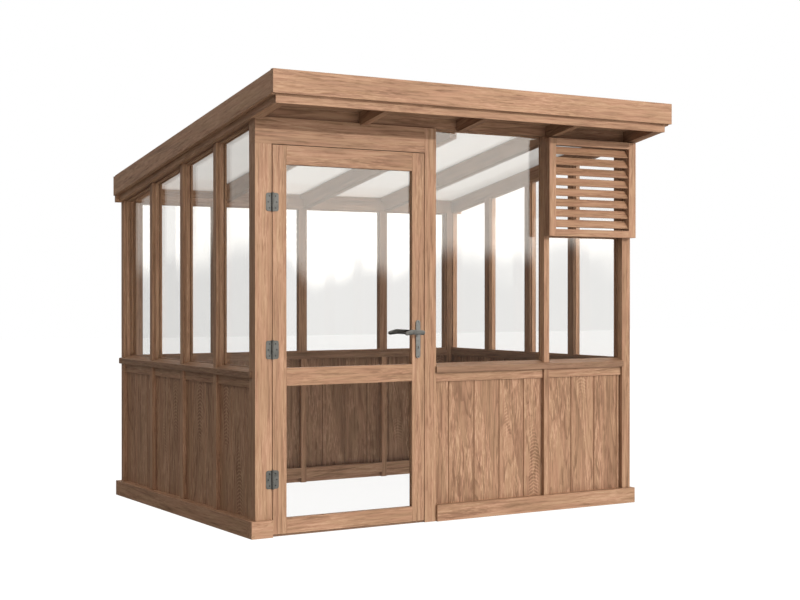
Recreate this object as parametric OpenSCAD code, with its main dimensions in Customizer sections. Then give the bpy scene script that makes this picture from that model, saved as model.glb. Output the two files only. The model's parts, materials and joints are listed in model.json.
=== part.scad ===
// Pent roof greenhouse of nominal 8 by 6 feet: a timber frame glazed over a boarded dado, with a
// glazed door, a louvre vent and a single glazed roof slope that falls from the front to the back.
// Millimetres, +Z up. The house is laid out from the outer front left corner of its walls, with x to
// the right along the front and y to the back, and is then moved so that the origin lies on the
// ground under the middle of the whole outline. Walls are drawn in their own coordinates: s along the
// wall, t inward from its outer face, z up.

/* [House] */
// Width over the wall frame
wall_w = 2440; // [2300:10:2700]
// Depth over the wall frame
wall_d = 1868; // [1700:4:2100]
// Height of the wall head at the front
head_z = 2120; // [2100:5:2250]
// Slope of the roof in degrees
roof_pitch = 9.75; // [8:0.25:11]
// Depth of the wall frame from its outer to its inner face
frame_d = 69; // [66:1:80]

/* [Base] */
// Height of the plinth timbers
plinth_h = 88; // [80:1:110]
// How far the side and back plinths stand out from the wall
plinth_out = 26; // [15:1:40]
// How far the front plinth stands out from the wall
plinth_front_out = 14; // [5:1:15]
// How far the plinths reach in from the wall's outer face
plinth_in = 44; // [41:1:55]
// Height of the threshold under the door
threshold_h = 9; // [5:1:10]

/* [Front wall] */
// Width of the post that carries the door's hinges
jamb_w = 94.5; // [90:0.5:110]
// Width of the post beside the lock
lock_post_w = 73; // [60:1:90]
// Width of the front right post
corner_post_w = 61; // [50:1:75]
// Width of the front mullion
mullion_w = 37; // [30:1:44]
// Height of the header over the door
header_h = 134; // [120:1:150]
// Depth of the glass behind the wall's outer face
glass_recess = 40; // [38:1:46]
// Thickness of the glass
glass_t = 6; // [4:0.5:8]
// How far a pane enters the rebate of its frame
glass_bite = 8; // [6:0.5:10]
// Height of the transom under the vent
transom_h = 37; // [30:1:45]

/* [Louvre vent] */
// How far the vent's left side stands out past the front mullion
vent_lap = 3; // [0:1:12]
// Width of the vent over its frame
vent_w = 632; // [600:1:635]
// Height of the vent over its frame
vent_h = 554; // [480:1:560]
// Gap between the vent's top and the underside of the rafters at the wall
vent_gap = 1; // [0.5:0.5:10]
// Depth of the vent's box in front of the wall
vent_d = 54; // [50:1:70]
// Width of the vent's left stile
vent_left_w = 47; // [40:1:55]
// Width of the vent's right stile
vent_right_w = 52; // [45:1:60]
// Height of the vent's bottom rail
vent_bottom_h = 40; // [30:1:45]
// Height of the vent's top rail
vent_top_h = 38; // [30:1:45]
// Number of slats
slats = 8; // [6:1:8]
// Rise of a slat from its front edge to its back edge
slat_rise = 42; // [36:1:46]
// Run of a slat from its front edge to its back edge
slat_run = 24; // [20:1:30]
// Thickness of a slat
slat_t = 9; // [7:0.5:11]
// How far a slat's lower edge lies behind the vent's front
slat_in = 15; // [12:1:18]
// Room between the vent's rails and the first and last slats
slat_edge = 10.5; // [6:0.5:14]
// Depth of the grooves that hold the slats
slat_trench = 6; // [4:0.5:8]

/* [Side and back walls] */
// Width of the wall studs
stud_w = 37; // [32:1:44]
// How far the side bays start behind the middle of the front posts
side_lead = 7; // [0:1:15]
// Distance of the outer glazing beads behind the wall's outer face
bead_set = 15; // [12:1:20]
// Width of the glazing beads
bead_w = 10; // [8:0.5:12]
// Depth of the glazing beads behind the glass
bead_d = 12; // [10:0.5:14]
// Bevel on the outer edge of the outer beads
bead_bevel = 5; // [3:0.5:6]

/* [Dado] */
// Height of the sills' underside
sill_z = 803; // [760:1:850]
// Height of a sill at the glass
sill_h = 50; // [44:1:56]
// Height of a sill's nose
nose_h = 32; // [26:1:36]
// How far a sill's nose stands out from the wall
nose_out = 12; // [11:0.5:20]
// How far the front sill laps the posts beside it
front_horn = 3; // [2:1:20]
// How far the side sills lap the front posts
side_horn = 32; // [20:1:50]
// Size of the drip groove under a sill's nose
drip = 4; // [3:0.5:5]
// Height of the rail under a sill
rail_h = 50; // [40:1:60]
// Distance of that rail's face behind the wall face
rail_set = 12; // [5:1:14]
// Distance of the boards' face behind the wall face
board_set = 23; // [18:1:24]
// Thickness of the boards
board_t = 16; // [14:0.5:16]
// Width that one board covers
board_pitch = 168.7; // [120:0.1:190]
// Width of the first board that shows beside the lock post
front_first_board = 96; // [40:1:120]
// Width of the first board that shows beside a front post on the side walls
side_first_board = 88; // [40:1:120]
// Gap at a joint between boards
board_gap = 1.6; // [0.4:0.1:3]
// Size of the bevel along a board's edges
board_bevel = 3.5; // [2:0.5:4]
// Length of a board's tongue
tongue_l = 6; // [4:0.5:8]
// Thickness of a board's tongue
tongue_t = 5; // [4:0.5:6]
// Height of the bottom rail's underside
foot_rail_z = 30; // [15:1:40]
// Height of the bottom rail
foot_rail_h = 65; // [62:1:80]

/* [Roof] */
// Width of the rafters
rafter_w = 44; // [38:1:50]
// Height of the rafters, measured plumb
rafter_h = 80; // [72:1:100]
// How much deeper the inner rafters are inside the walls
rafter_belly = 16; // [0:1:24]
// How far the inner rafters stand to the right of an even spacing
rafter_lead = 18; // [0:1:24]
// How far the rafters are notched down over the wall head at the front
rafter_drop = 10; // [5:1:15]
// Length of the rafter tails in front of the wall
tail = 254; // [200:1:300]
// Thickness of the fascias
fascia_t = 28; // [22:1:34]
// Height of the fascias
fascia_h = 117; // [105:1:130]
// How far the fascias rise above the rafters
fascia_up = 73; // [60:1:85]
// Thickness of the lower fascias
lower_t = 22; // [18:1:26]
// Height of the back lower fascia
back_lower_h = 40; // [34:1:50]
// How far the front lower fascia's bottom lies above the rafter tails' underside
lower_lift = 0; // [0:0.5:4]
// How far the back lower fascia stands out past the side walls
back_lower_out = 42; // [30:1:48]
// How far the lower fascias' top lies below the fascias' top
lower_tuck = 20; // [10:1:30]
// Height of the front wall plate
plate_h = 20; // [16:1:26]
// Distance of the blocking's face behind the wall face
block_set = 12; // [8:1:16]
// Thickness of the blocking
block_t = 16; // [14:1:20]
// Thickness of the eaves boards that lie under the roof panes in front of the blocking
eaves_t = 12; // [9:1:18]
// Height of the back blocking
back_block_h = 20; // [16:1:36]
// Height of the glazing bars over the roof panes
bar_h = 12; // [8:1:16]
// Gap between two roof panes over a rafter
roof_pane_gap = 6; // [4:0.5:10]

/* [Door] */
// Width of the door leaf
leaf_w = 905.5; // [880:0.5:910]
// Gap beside and over the leaf
leaf_gap = 3.5; // [3:0.25:4.5]
// Gap under the leaf
leaf_foot = 3; // [2:0.5:5]
// Thickness of the leaf
leaf_t = 40; // [40:1:50]
// Width of the hinge stile
hinge_stile_w = 79; // [65:0.5:85]
// Width of the lock stile
lock_stile_w = 75.5; // [74:0.5:90]
// Height of the door's top rail
top_rail_h = 98; // [80:1:110]
// Height of the door's bottom rail
bottom_rail_h = 79; // [70:1:95]
// Height of the middle rail's underside
middle_rail_z = 762; // [700:1:800]
// Height of the middle rail
middle_rail_h = 91; // [70:1:95]
// Depth of the door's glass behind its face
door_glass_set = 16; // [12:1:18]
// How far a door pane enters its rebate
door_bite = 10; // [8:0.5:12]
// Depth of the door's beads behind the glass
door_bead_d = 12; // [10:0.5:16]
// Bevel on the beads' edges that show from inside the house
inner_bevel = 6; // [3:0.5:7]
// Thickness of the tenons of the rails
tenon_t = 14; // [12:0.5:15]
// Distance of the tenons behind the door's face
tenon_set = 11; // [8:1:14]
// Length of the tenons
tenon_l = 25; // [18:1:30]
// Shoulder above and below a tenon
tenon_shoulder = 13; // [12:0.5:16]
// Thickness of the door stops
stop_t = 18; // [12:1:20]
// Gap between the closed leaf and its stops
stop_gap = 1; // [0.5:0.1:2]

/* [Hinges] */
// Heights of the hinges' middles
hinge_z = [291, 946.5, 1692];
// Height of a hinge
hinge_h = 93; // [80:1:100]
// Radius of a hinge's knuckles
knuckle_r = 6; // [5:0.25:7]
// Radius of a hinge's pin
pin_r = 3; // [2.5:0.1:3.5]
// Thickness of a hinge's leaves
hinge_t = 2.5; // [2:0.1:3]
// Width of a hinge's leaf on the post
fixed_leaf_w = 34; // [26:1:36]
// Width of a hinge's leaf on the door
moving_leaf_w = 33; // [26:1:36]
// Corner radius of the leaves
hinge_corner = 12; // [4:0.5:13]
// Radius of the screws' heads
screw_r = 4; // [3:0.25:4.5]
// Distance of a hinge's upper and lower screws from the leaf's inner edge
screw_near = 15; // [13:0.5:17]
// Distance of a hinge's middle screw from the leaf's inner edge
screw_far = 22; // [19:0.5:24]
// Distance between a hinge's screws
screw_pitch = 30; // [24:0.5:33]
// How far the screws' heads stand out
screw_out = 0.8; // [0.5:0.1:1.2]

/* [Lock and levers] */
// Height of the levers' axis
lever_z = 1022; // [1010:1:1040]
// Distance of the levers' axis from the lock edge of the door
backset = 41; // [38:0.5:44]
// Width of the back plates
plate_w = 27; // [26:1:34]
// Height of the back plates
plate_len = 203; // [180:1:210]
// Thickness of the back plates
plate_t = 6; // [4:0.5:7]
// Distance from the levers' axis to the top of the back plates
plate_up = 66; // [50:1:75]
// Radius of the heads of the screws in the back plates
plate_screw_r = 3; // [2.5:0.25:4]
// Distance of those screws from the ends of the back plates
plate_screw_end = 9; // [7:0.5:14]
// Distance from the levers' axis down to the keyhole
key_drop = 77; // [60:1:85]
// Radius of the keyhole
key_r = 3.5; // [3:0.25:4.5]
// Radius of the levers' necks
neck_r = 9; // [8:0.25:10]
// Distance of the levers' blades from the door's face
lever_out = 50; // [44:1:60]
// Length of a lever from its axis to its tip
lever_len = 118; // [105:1:140]
// Height of a lever's blade at its root
lever_root_h = 25; // [19:1:27]
// Distance of a lever's crown from its axis
crown_x = 72; // [55:1:80]
// Height of a lever's blade at its crown
crown_h = 26; // [18:0.5:28]
// How far a lever's crown rises above its axis
crown_rise = 4; // [0:0.5:6]
// Height of a lever's blade at its tip
lever_tip_h = 20; // [12:0.5:22]
// How far a lever's tip droops below its axis
tip_drop = 3; // [0:0.5:8]
// How far a lever's tip stands out past its root
lever_flare = 16; // [0:1:20]
// How much a lever's blade thins at its crown, and again at its tip
lever_thin = 1.5; // [0.5:0.25:2.5]
// Thickness of a lever's blade
lever_t = 11; // [9:0.5:13]
// Width across the flats of the spindle
spindle_w = 8; // [7:0.5:9]
// Thickness of the lock case
case_t = 16; // [14:0.5:16]
// Height of the lock case
case_h = 150; // [130:1:160]
// Distance from the levers' axis down to the lock case's foot
case_drop = 82; // [70:1:90]
// Depth of the lock case behind its face plate
case_l = 60; // [56:1:62]
// Wall of the lock case
case_wall = 1.5; // [1.2:0.1:2]
// Length of the lock's face plate
face_len = 190; // [170:1:200]
// Width of the lock's face plate
face_w = 22; // [20:1:24]
// Thickness of the lock's face plate and of the strike plate
face_t = 2.5; // [2:0.1:3]
// Height of the latch bolt
bolt_h = 20; // [14:0.5:24]
// Thickness of the latch bolt
bolt_t = 10; // [8:0.5:11]
// How far the latch bolt stands out of its face plate
bolt_out = 2.5; // [1.5:0.1:2.6]
// Length of the latch bolt inside its case
bolt_in = 22; // [15:1:23]
// Height of the strike plate
strike_h = 92; // [80:1:110]
// Room round the bolt in the strike plate's hole
strike_room = 2; // [1:0.5:3]
// Depth of the pocket behind the strike plate
strike_pocket = 10; // [6:1:14]
// Radius of the disc that turns with the spindle
follower_r = 10; // [9:0.5:11]

/* [Hidden] */
$fn = 64;

// Clearances: between a pane or tenon and its housing, of a running fit, between moving pieces
play = 0.3;
run_play = 0.05;
free = 0.5;
// Bedding between the sloping rafters and what they touch
bed = 0.2;
// A little more than nothing, for cuts that leave a face
cut = 1;

// Roof planes
fall = tan(roof_pitch);
function under(y) = head_z - rafter_drop - fall*y;
function over(y) = under(y) + rafter_h;
// The heads of what stands under the rafters
function seat(y) = under(y) - bed;
function fascia_top(y) = over(y) + fascia_up;
function fascia_bottom(y) = fascia_top(y) - fascia_h;

// The roof's outline
tail_y = -tail;
lower_y = tail_y - lower_t;
front_y = lower_y - fascia_t;
eave_y = wall_d - fascia_t;
side_out = lower_t + fascia_t;

// Front to back, the outline runs from the front fascia to the back plinth or sill
back_reach = wall_d + max(plinth_out, nose_out);
middle_y = (front_y + back_reach)/2;

// Rafters and roof panes, along x
rafter_x = [
    0, for (k = [1:3]) wall_w*k/4 - rafter_w/2 + rafter_lead, wall_w - rafter_w];
roof_seam_x = [for (x = rafter_x) x + rafter_w/2];

// Front wall from the left to the right; the mullion stands at three quarters of the wall, where the
// third inner rafter bears on it
leaf_x = jamb_w + leaf_gap;
leaf_x1 = leaf_x + leaf_w;
lock_post_x = leaf_x1 + leaf_gap;
window_x = lock_post_x + lock_post_w;
mullion_x = rafter_x[3] - rafter_lead;
vent_x = mullion_x - vent_lap;
mullion_x1 = mullion_x + mullion_w;
right_post_x = wall_w - corner_post_w;
header_z = head_z - header_h;

// Heights
sill_top = sill_z + sill_h;
glass_z = sill_top - glass_bite;
back_head_z = fascia_bottom(wall_d) - back_lower_h;
plate_y = block_set + block_t;
plate_top = head_z + plate_h;
back_plate_top = fascia_bottom(wall_d);
vent_z1 = under(0) - vent_gap;
vent_z = vent_z1 - vent_h;
transom_z = vent_z + (vent_bottom_h - transom_h)/2;
glass_back = glass_recess + glass_t;
board_back = board_set + board_t;
// The studs over the sills are flush with the inner beads
stud_d = glass_back + bead_d;

// Studs and bays of the side walls, along y
side_pitch = (wall_d - frame_d - side_lead)/4;
side_stud_s = [for (k = [1:3]) frame_d/2 + side_lead + k*side_pitch - stud_w/2];
side_end_s = wall_d - stud_w;
side_bays = [
    [frame_d, side_stud_s[0]],
    for (k = [0:1]) [side_stud_s[k] + stud_w, side_stud_s[k + 1]],
    [side_stud_s[2] + stud_w, side_end_s]];

// Studs and bays of the back wall, along x
back_s0 = frame_d + stud_w;
back_s1 = wall_w - back_s0;
back_stud_s = [for (k = [1:3]) wall_w*k/4 - stud_w/2];
back_bays = [
    [back_s0, back_stud_s[0]],
    for (k = [0:1]) [back_stud_s[k] + stud_w, back_stud_s[k + 1]],
    [back_stud_s[2] + stud_w, back_s1]];

// Panes of the front wall: [left, right, sill, head] of the opening that shows
front_lights = [
    [window_x, mullion_x, sill_top, head_z],
    [mullion_x1, right_post_x, sill_top, transom_z]];

// Door
leaf_z = threshold_h + leaf_foot;
leaf_z1 = header_z - leaf_gap;
stile_x1 = leaf_x + hinge_stile_w;
lock_stile_x = leaf_x1 - lock_stile_w;
door_lights = [
    [stile_x1, lock_stile_x, leaf_z + bottom_rail_h, middle_rail_z],
    [stile_x1, lock_stile_x, middle_rail_z + middle_rail_h, leaf_z1 - top_rail_h]];

// Hinges: their axis stands in front of the gap beside the leaf
hinge_x = jamb_w + leaf_gap/2;
hinge_y = -knuckle_r;

// Lock
lever_x = leaf_x1 - backset;
lock_y = leaf_t/2;
bolt_z = lever_z;
strike_x = lock_post_x;

timber = [0.74, 0.56, 0.43];
timber_dark = [0.62, 0.46, 0.35];
timber_pale = [0.80, 0.63, 0.50];
glass = [0.85, 0.90, 0.90, 0.35];
pewter = [0.42, 0.42, 0.42];
steel = [0.62, 0.62, 0.60];

// Frames of reference: the whole house, and each wall
module placed() translate([-wall_w/2, -middle_y, 0]) children();
module on_left() mirror([1, -1, 0]) children();
module on_right() translate([wall_w, 0, 0]) mirror([1, 0, 0]) on_left() children();
module on_sides() {
    on_left() children();
    on_right() children();
}
module on_back() translate([0, wall_d, 0]) mirror([0, 1, 0]) children();

// A squared timber from its two ends along each axis
module block(x, y, z) translate([x[0], y[0], z[0]]) cube([x[1] - x[0], y[1] - y[0], z[1] - z[0]]);
// An outline in y and z, run along x
module run(x0, x1) translate([x0, 0, 0]) rotate([90, 0, 90]) linear_extrude(x1 - x0) children();
// An outline in x and z, from y0 to y1
module slab(y0, y1) translate([0, y1, 0]) rotate([90, 0, 0]) linear_extrude(y1 - y0) children();
// A round bar along y
module bar_y(x, z, y0, y1, r) translate([x, y1, z]) rotate([90, 0, 0]) cylinder(h = y1 - y0, r = r);

// Plinth: timbers on the ground that the walls stand on
module front_plinth() color(timber) placed() {
    block([-plinth_out, jamb_w], [-plinth_front_out, plinth_in], [0, plinth_h]);
    block([window_x, wall_w + plinth_out], [-plinth_front_out, plinth_in], [0, plinth_h]);
}
module side_plinths() color(timber) placed() on_sides()
    block([plinth_in, wall_d - plinth_in], [-plinth_out, plinth_in], [0, plinth_h]);
module back_plinth() color(timber) placed() on_back()
    block([-plinth_out, wall_w + plinth_out], [-plinth_out, plinth_in], [0, plinth_h]);
module threshold() color(timber_dark) placed()
    block([jamb_w, lock_post_x], [block_set, frame_d], [0, threshold_h]);

// Rebates that the front panes stand in, open to the inside
module front_rebates() for (l = front_lights)
    block([l[0] - glass_bite - play, l[1] + glass_bite + play],
          [glass_recess, frame_d + cut], [glass_z, l[3] + glass_bite]);
// Grooves over the front panes
module head_grooves() for (l = front_lights)
    block([l[0] - glass_bite - play, l[1] + glass_bite + play],
          [glass_recess - play, glass_back + play], [l[3] - cut, l[3] + glass_bite]);

// Posts of the front wall
module jamb_post() color(timber) placed()
    block([0, jamb_w], [0, frame_d], [plinth_h, header_z]);
module lock_post() color(timber) placed() difference() {
    block([lock_post_x, window_x], [0, frame_d], [0, head_z]);
    front_rebates();
    strike_housing();
}
module front_right_post() color(timber) placed() difference() {
    block([right_post_x, wall_w], [0, frame_d], [plinth_h, head_z]);
    front_rebates();
}
module door_header() color(timber) placed()
    block([0, lock_post_x], [0, frame_d], [header_z, head_z]);

// A sill's outline: level below, weathered above, with a rebate for the glass
function weather(t) = sill_z + nose_h + (t + nose_out)*(sill_h - nose_h)/(glass_recess + nose_out);
module nose_outline(t1, top) polygon(concat([
    [-nose_out, sill_z], [-nose_out, sill_z + nose_h]],
    top, [
    [t1, sill_z], [-nose_out + 2*drip, sill_z], [-nose_out + 2*drip, sill_z + drip],
    [-nose_out + drip, sill_z + drip], [-nose_out + drip, sill_z]]));
module sill_run(s0, s1) run(s0, s1) nose_outline(frame_d, [
    [glass_recess, sill_top], [glass_recess, glass_z], [frame_d, glass_z]]);
module sill_horn(s0, s1) run(s0, s1) nose_outline(0, [[0, weather(0)]]);

module front_sill() color(timber_pale) placed() {
    sill_run(window_x, right_post_x);
    sill_horn(window_x - front_horn, window_x);
    sill_horn(right_post_x, right_post_x + front_horn);
}
module side_sills() color(timber_pale) placed() on_sides() {
    sill_run(frame_d, side_end_s);
    sill_horn(frame_d - side_horn, frame_d);
    sill_horn(side_end_s, wall_d);
}
module back_sill() color(timber_pale) placed() on_back() {
    sill_run(back_s0, back_s1);
    sill_horn(-nose_out, back_s0);
    sill_horn(back_s1, wall_w + nose_out);
}

// A stud over a sill: its foot fits the sill's outline and its head is flat at z1
module stud_over(s0, z1, w) run(s0, s0 + w) polygon([
    [0, weather(0)], [glass_recess, sill_top], [glass_recess, glass_z], [stud_d, glass_z],
    [stud_d, z1], [0, z1]]);
// The same stud under the sill: a stile in front of the boards and a leg behind them
module stud_under(s0, w) {
    block([s0, s0 + w], [0, board_set], [plinth_h, sill_z]);
    run(s0, s0 + w) polygon([
        [board_back, plinth_h], [plinth_in, plinth_h], [plinth_in, 0], [frame_d, 0],
        [frame_d, sill_z], [board_back, sill_z]]);
}

module front_mullion() color(timber) placed() {
    difference() {
        stud_over(mullion_x, head_z, mullion_w);
        front_rebates();
    }
    stud_under(mullion_x, mullion_w);
}
module vent_transom() color(timber) placed() difference() {
    block([mullion_x1, right_post_x], [0, stud_d], [transom_z, transom_z + transom_h]);
    head_grooves();
}

// The heads of the side studs follow the slope of the rafters
module under_roof(s0, s1) slab(-cut, frame_d + cut)
    polygon([[s0, 0], [s1, 0], [s1, seat(s1)], [s0, seat(s0)]]);
module side_studs() color(timber) placed() on_sides() {
    for (s = side_stud_s) {
        intersection() {
            stud_over(s, head_z, stud_w);
            under_roof(s, s + stud_w);
        }
        stud_under(s, stud_w);
    }
    slab(0, frame_d) polygon([
        [side_end_s, plinth_h], [wall_d, plinth_h], [wall_d, back_head_z], [eave_y, back_head_z],
        [eave_y, seat(eave_y)], [side_end_s, seat(side_end_s)]]);
}
module back_studs() color(timber) placed() on_back() {
    for (s = back_stud_s) {
        stud_over(s, back_head_z, stud_w);
        stud_under(s, stud_w);
    }
    for (s = [frame_d, back_s1]) block([s, s + stud_w], [0, frame_d], [plinth_h, back_head_z]);
}

// Rails between the studs: a trim at the top of the boards and a rail at their foot
module rails(spans, foot_end) for (b = spans) {
    block(b, [rail_set, board_set], [sill_z - rail_h, sill_z]);
    block([b[0], min(b[1], foot_end)], [plinth_in, frame_d], [foot_rail_z, foot_rail_z + foot_rail_h]);
}
front_spans = [[window_x, mullion_x], [mullion_x1, right_post_x]];
module front_rails() color(timber) placed() rails(front_spans, right_post_x);
module side_rails() color(timber) placed() on_sides()
    rails(side_bays, wall_d - plinth_in);
module back_rails() color(timber) placed() on_back() rails(back_bays, back_s1);

// A board bevelled along both faces, with a groove on its left and a tongue on its right, where it
// has them
module board(s0, s1, groove, tongue) {
    g = (board_t - tongue_t)/2;
    a = s0;
    b = s1 - board_gap;
    f = board_set;
    translate([0, 0, plinth_h]) linear_extrude(sill_z - plinth_h) polygon(concat(
        [[a, f + board_bevel], [a + board_bevel, f], [b - board_bevel, f], [b, f + board_bevel]],
        tongue ? [[b, f + g], [b + tongue_l, f + g],
                  [b + tongue_l, f + g + tongue_t], [b, f + g + tongue_t]] : [],
        [[b, board_back - board_bevel], [b - board_bevel, board_back],
         [a + board_bevel, board_back], [a, board_back - board_bevel]],
        groove ? [[a, f + g + tongue_t + play], [a + tongue_l + play, f + g + tongue_t + play],
                  [a + tongue_l + play, f + g - play], [a, f + g - play]] : []));
}
// Boards from s0 to s1, the first of them first_w wide
module boarding(s0, s1, first_w) {
    joints = [for (s = [s0 + first_w : board_pitch : s1 - 2*tongue_l]) s];
    edges = concat([s0], joints, [s1 + board_gap]);
    for (k = [0 : len(edges) - 2]) board(edges[k], edges[k + 1], k > 0, k < len(edges) - 2);
}
module front_boards() color(timber_dark) placed()
    boarding(window_x, right_post_x, front_first_board);
module side_boards() color(timber_dark) placed() on_sides()
    boarding(frame_d, side_end_s, side_first_board);
module back_boards() color(timber_dark) placed() on_back()
    boarding(back_s0, back_s1, side_first_board);

// Wall plates under the rafters, the blocking that closes the gaps between the rafters, and the boards
// in front of it that close the eaves from below
module front_wall_plate() color(timber) placed() difference() {
    block([0, wall_w], [plate_y, frame_d], [head_z, plate_top]);
    head_grooves();
}
module back_wall_plate() color(timber) placed()
    block([frame_d, wall_w - frame_d], [wall_d - frame_d, eave_y], [back_head_z, back_plate_top]);
module eaves_blocking() color(timber_dark) placed() for (k = [0:3]) {
    bay = [rafter_x[k] + rafter_w, rafter_x[k + 1]];
    block(bay, [block_set, plate_y], [head_z, over(plate_y)]);
    board_y = block_set - bed;
    run(bay[0], bay[1]) polygon([
        [tail_y, over(tail_y) - eaves_t], [board_y, over(board_y) - eaves_t],
        [board_y, over(board_y)], [tail_y, over(tail_y)]]);
    block([max(bay[0], frame_d), min(bay[1], wall_w - frame_d)],
          [wall_d - frame_d, wall_d - frame_d + block_t],
          [back_plate_top, back_plate_top + back_block_h]);
}

// Rafters, notched over the header and the front plate; the inner ones over the back plate too, and
// deeper between the walls
module rafter_outline(inner) polygon(concat([
    [tail_y, under(tail_y)], [0, under(0)], [0, head_z], [plate_y, head_z], [plate_y, plate_top],
    [frame_d, plate_top], [frame_d, under(frame_d) - (inner ? rafter_belly : 0)]],
    inner ? [
    [wall_d - frame_d, under(wall_d - frame_d) - rafter_belly], [wall_d - frame_d, back_plate_top],
    [eave_y, back_plate_top]] : [[eave_y, under(eave_y)]], [
    [eave_y, over(eave_y)], [tail_y, over(tail_y)]]));
module rafters() color(timber) placed() for (k = [0:4])
    run(rafter_x[k], rafter_x[k] + rafter_w) rafter_outline(k > 0 && k < 4);

// A layer on the rafters, from z0 to z1 over their top
module roof_layer(x0, x1, z0, z1) {
    y = [tail_y + play, eave_y - play];
    run(x0, x1) polygon([
        [y[0], over(y[0]) + z0], [y[1], over(y[1]) + z0], [y[1], over(y[1]) + z1], [y[0], over(y[0]) + z1]]);
}
module roof_panes() color(glass) placed() for (k = [0:3])
    roof_layer(k == 0 ? play : roof_seam_x[k] + roof_pane_gap/2,
               k == 3 ? wall_w - play : roof_seam_x[k + 1] - roof_pane_gap/2, bed, bed + glass_t);
module glazing_bars() color(timber) placed() for (x = rafter_x)
    roof_layer(x + play, x + rafter_w - play, 2*bed + glass_t, 2*bed + glass_t + bar_h);

// Fascias round the roof's edge
module front_fascia() color(timber_pale) placed()
    block([-side_out, wall_w + side_out], [front_y, lower_y],
          [fascia_bottom(front_y), fascia_top(front_y)]);
module back_fascia() color(timber) placed()
    block([-side_out, wall_w + side_out], [eave_y, wall_d],
          [fascia_bottom(wall_d), fascia_top(wall_d)]);
module sloped(y0, y1) polygon([
    [y0, fascia_bottom(y0)], [y1, fascia_bottom(y1)], [y1, fascia_top(y1)], [y0, fascia_top(y0)]]);
module side_fascias() color(timber) placed() for (x = [-side_out, wall_w + lower_t])
    run(x, x + fascia_t) sloped(lower_y, eave_y);

// Lower fascias: boards behind the fascias that show below them
module front_lower_fascia() color(timber_pale) placed()
    block([-lower_t, wall_w + lower_t], [lower_y, tail_y],
          [under(tail_y) + lower_lift, fascia_top(front_y) - lower_tuck]);
module back_lower_fascia() color(timber) placed()
    block([-back_lower_out, wall_w + back_lower_out], [eave_y, wall_d],
          [back_head_z, fascia_bottom(wall_d)]);
module side_lower_fascias() color(timber_dark) placed() for (x = [-lower_t, wall_w])
    run(x, x + lower_t) polygon([
        [tail_y, under(tail_y)], [eave_y, under(eave_y)],
        [eave_y, fascia_top(eave_y) - lower_tuck], [tail_y, fascia_top(tail_y) - lower_tuck]]);

// Panes of the walls
module front_panes() color(glass) placed() for (l = front_lights)
    block([l[0] - glass_bite, l[1] + glass_bite], [glass_recess, glass_back],
          [glass_z, l[3] + glass_bite - play]);
module side_panes() color(glass) placed() on_sides() for (b = side_bays)
    slab(glass_recess, glass_back) polygon([
        [b[0] + play, glass_z], [b[1] - play, glass_z],
        [b[1] - play, seat(b[1] - play) - play], [b[0] + play, seat(b[0] + play) - play]]);
module back_panes() color(glass) placed() on_back() for (b = back_bays)
    block([b[0] + play, b[1] - play], [glass_recess, glass_back], [glass_z, back_head_z - play]);

// An upright bead in a rebate, from s away from the light to the light's edge, bevelled behind
module rebate_bead(s, edge, y0, y1) {
    way = edge > s ? 1 : -1;
    polygon([[s, y0], [edge, y0], [edge, y1 - inner_bevel], [edge - way*inner_bevel, y1], [s, y1]]);
}
// Glazing beads: the front panes are held from inside only, in the rebates
module front_beads() color(timber) placed() for (l = front_lights) {
    translate([0, 0, glass_z]) linear_extrude(l[3] - glass_z) {
        rebate_bead(l[0] - glass_bite, l[0], glass_back, stud_d);
        rebate_bead(l[1] + glass_bite, l[1], glass_back, stud_d);
    }
    block([l[0] + play, l[1] - play], [glass_back, stud_d], [glass_z, sill_top]);
    block([l[0] + play, l[1] - play], [glass_back, stud_d], [l[3] - glass_bite, l[3]]);
}
// An upright outer bead with its outer edge bevelled on the side of the light
module outer_bead_outline(s, way) polygon([
    [s, bead_set], [s + way*(bead_w - bead_bevel), bead_set], [s + way*bead_w, bead_set + bead_bevel],
    [s + way*bead_w, glass_recess], [s, glass_recess]]);
module bay_beads(b, z0, z1) {
    // outer beads stand on the weathered sill
    for (e = [[b[0], 1], [b[1], -1]]) intersection() {
        translate([0, 0, sill_z]) linear_extrude(z1 - sill_z) outer_bead_outline(e[0], e[1]);
        run(b[0], b[1]) polygon([
            [0, weather(0)], [glass_recess, sill_top], [glass_recess, z1], [0, z1]]);
    }
    for (s = [b[0], b[1] - bead_w])
        block([s, s + bead_w], [glass_back, glass_back + bead_d], [z0, z1]);
    block([b[0] + bead_w + play, b[1] - bead_w - play], [glass_back, glass_back + bead_d],
          [z0, z0 + bead_d]);
}
// Beads under a head that runs from z at b[0] to z at b[1]
module head_bead(b, za, zb) for (t = [[bead_set, glass_recess], [glass_back, glass_back + bead_d]])
    slab(t[0], t[1]) polygon([
        [b[0] + bead_w + play, za - bead_w], [b[1] - bead_w - play, zb - bead_w],
        [b[1] - bead_w - play, zb], [b[0] + bead_w + play, za]]);
module side_beads() color(timber_dark) placed() on_sides() for (b = side_bays) {
    intersection() {
        bay_beads(b, glass_z, head_z);
        under_roof(b[0], b[1]);
    }
    head_bead(b, seat(b[0] + bead_w + play), seat(b[1] - bead_w - play));
}
module back_beads() color(timber_dark) placed() on_back() for (b = back_bays) {
    bay_beads(b, glass_z, back_head_z);
    head_bead(b, back_head_z, back_head_z);
}

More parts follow.
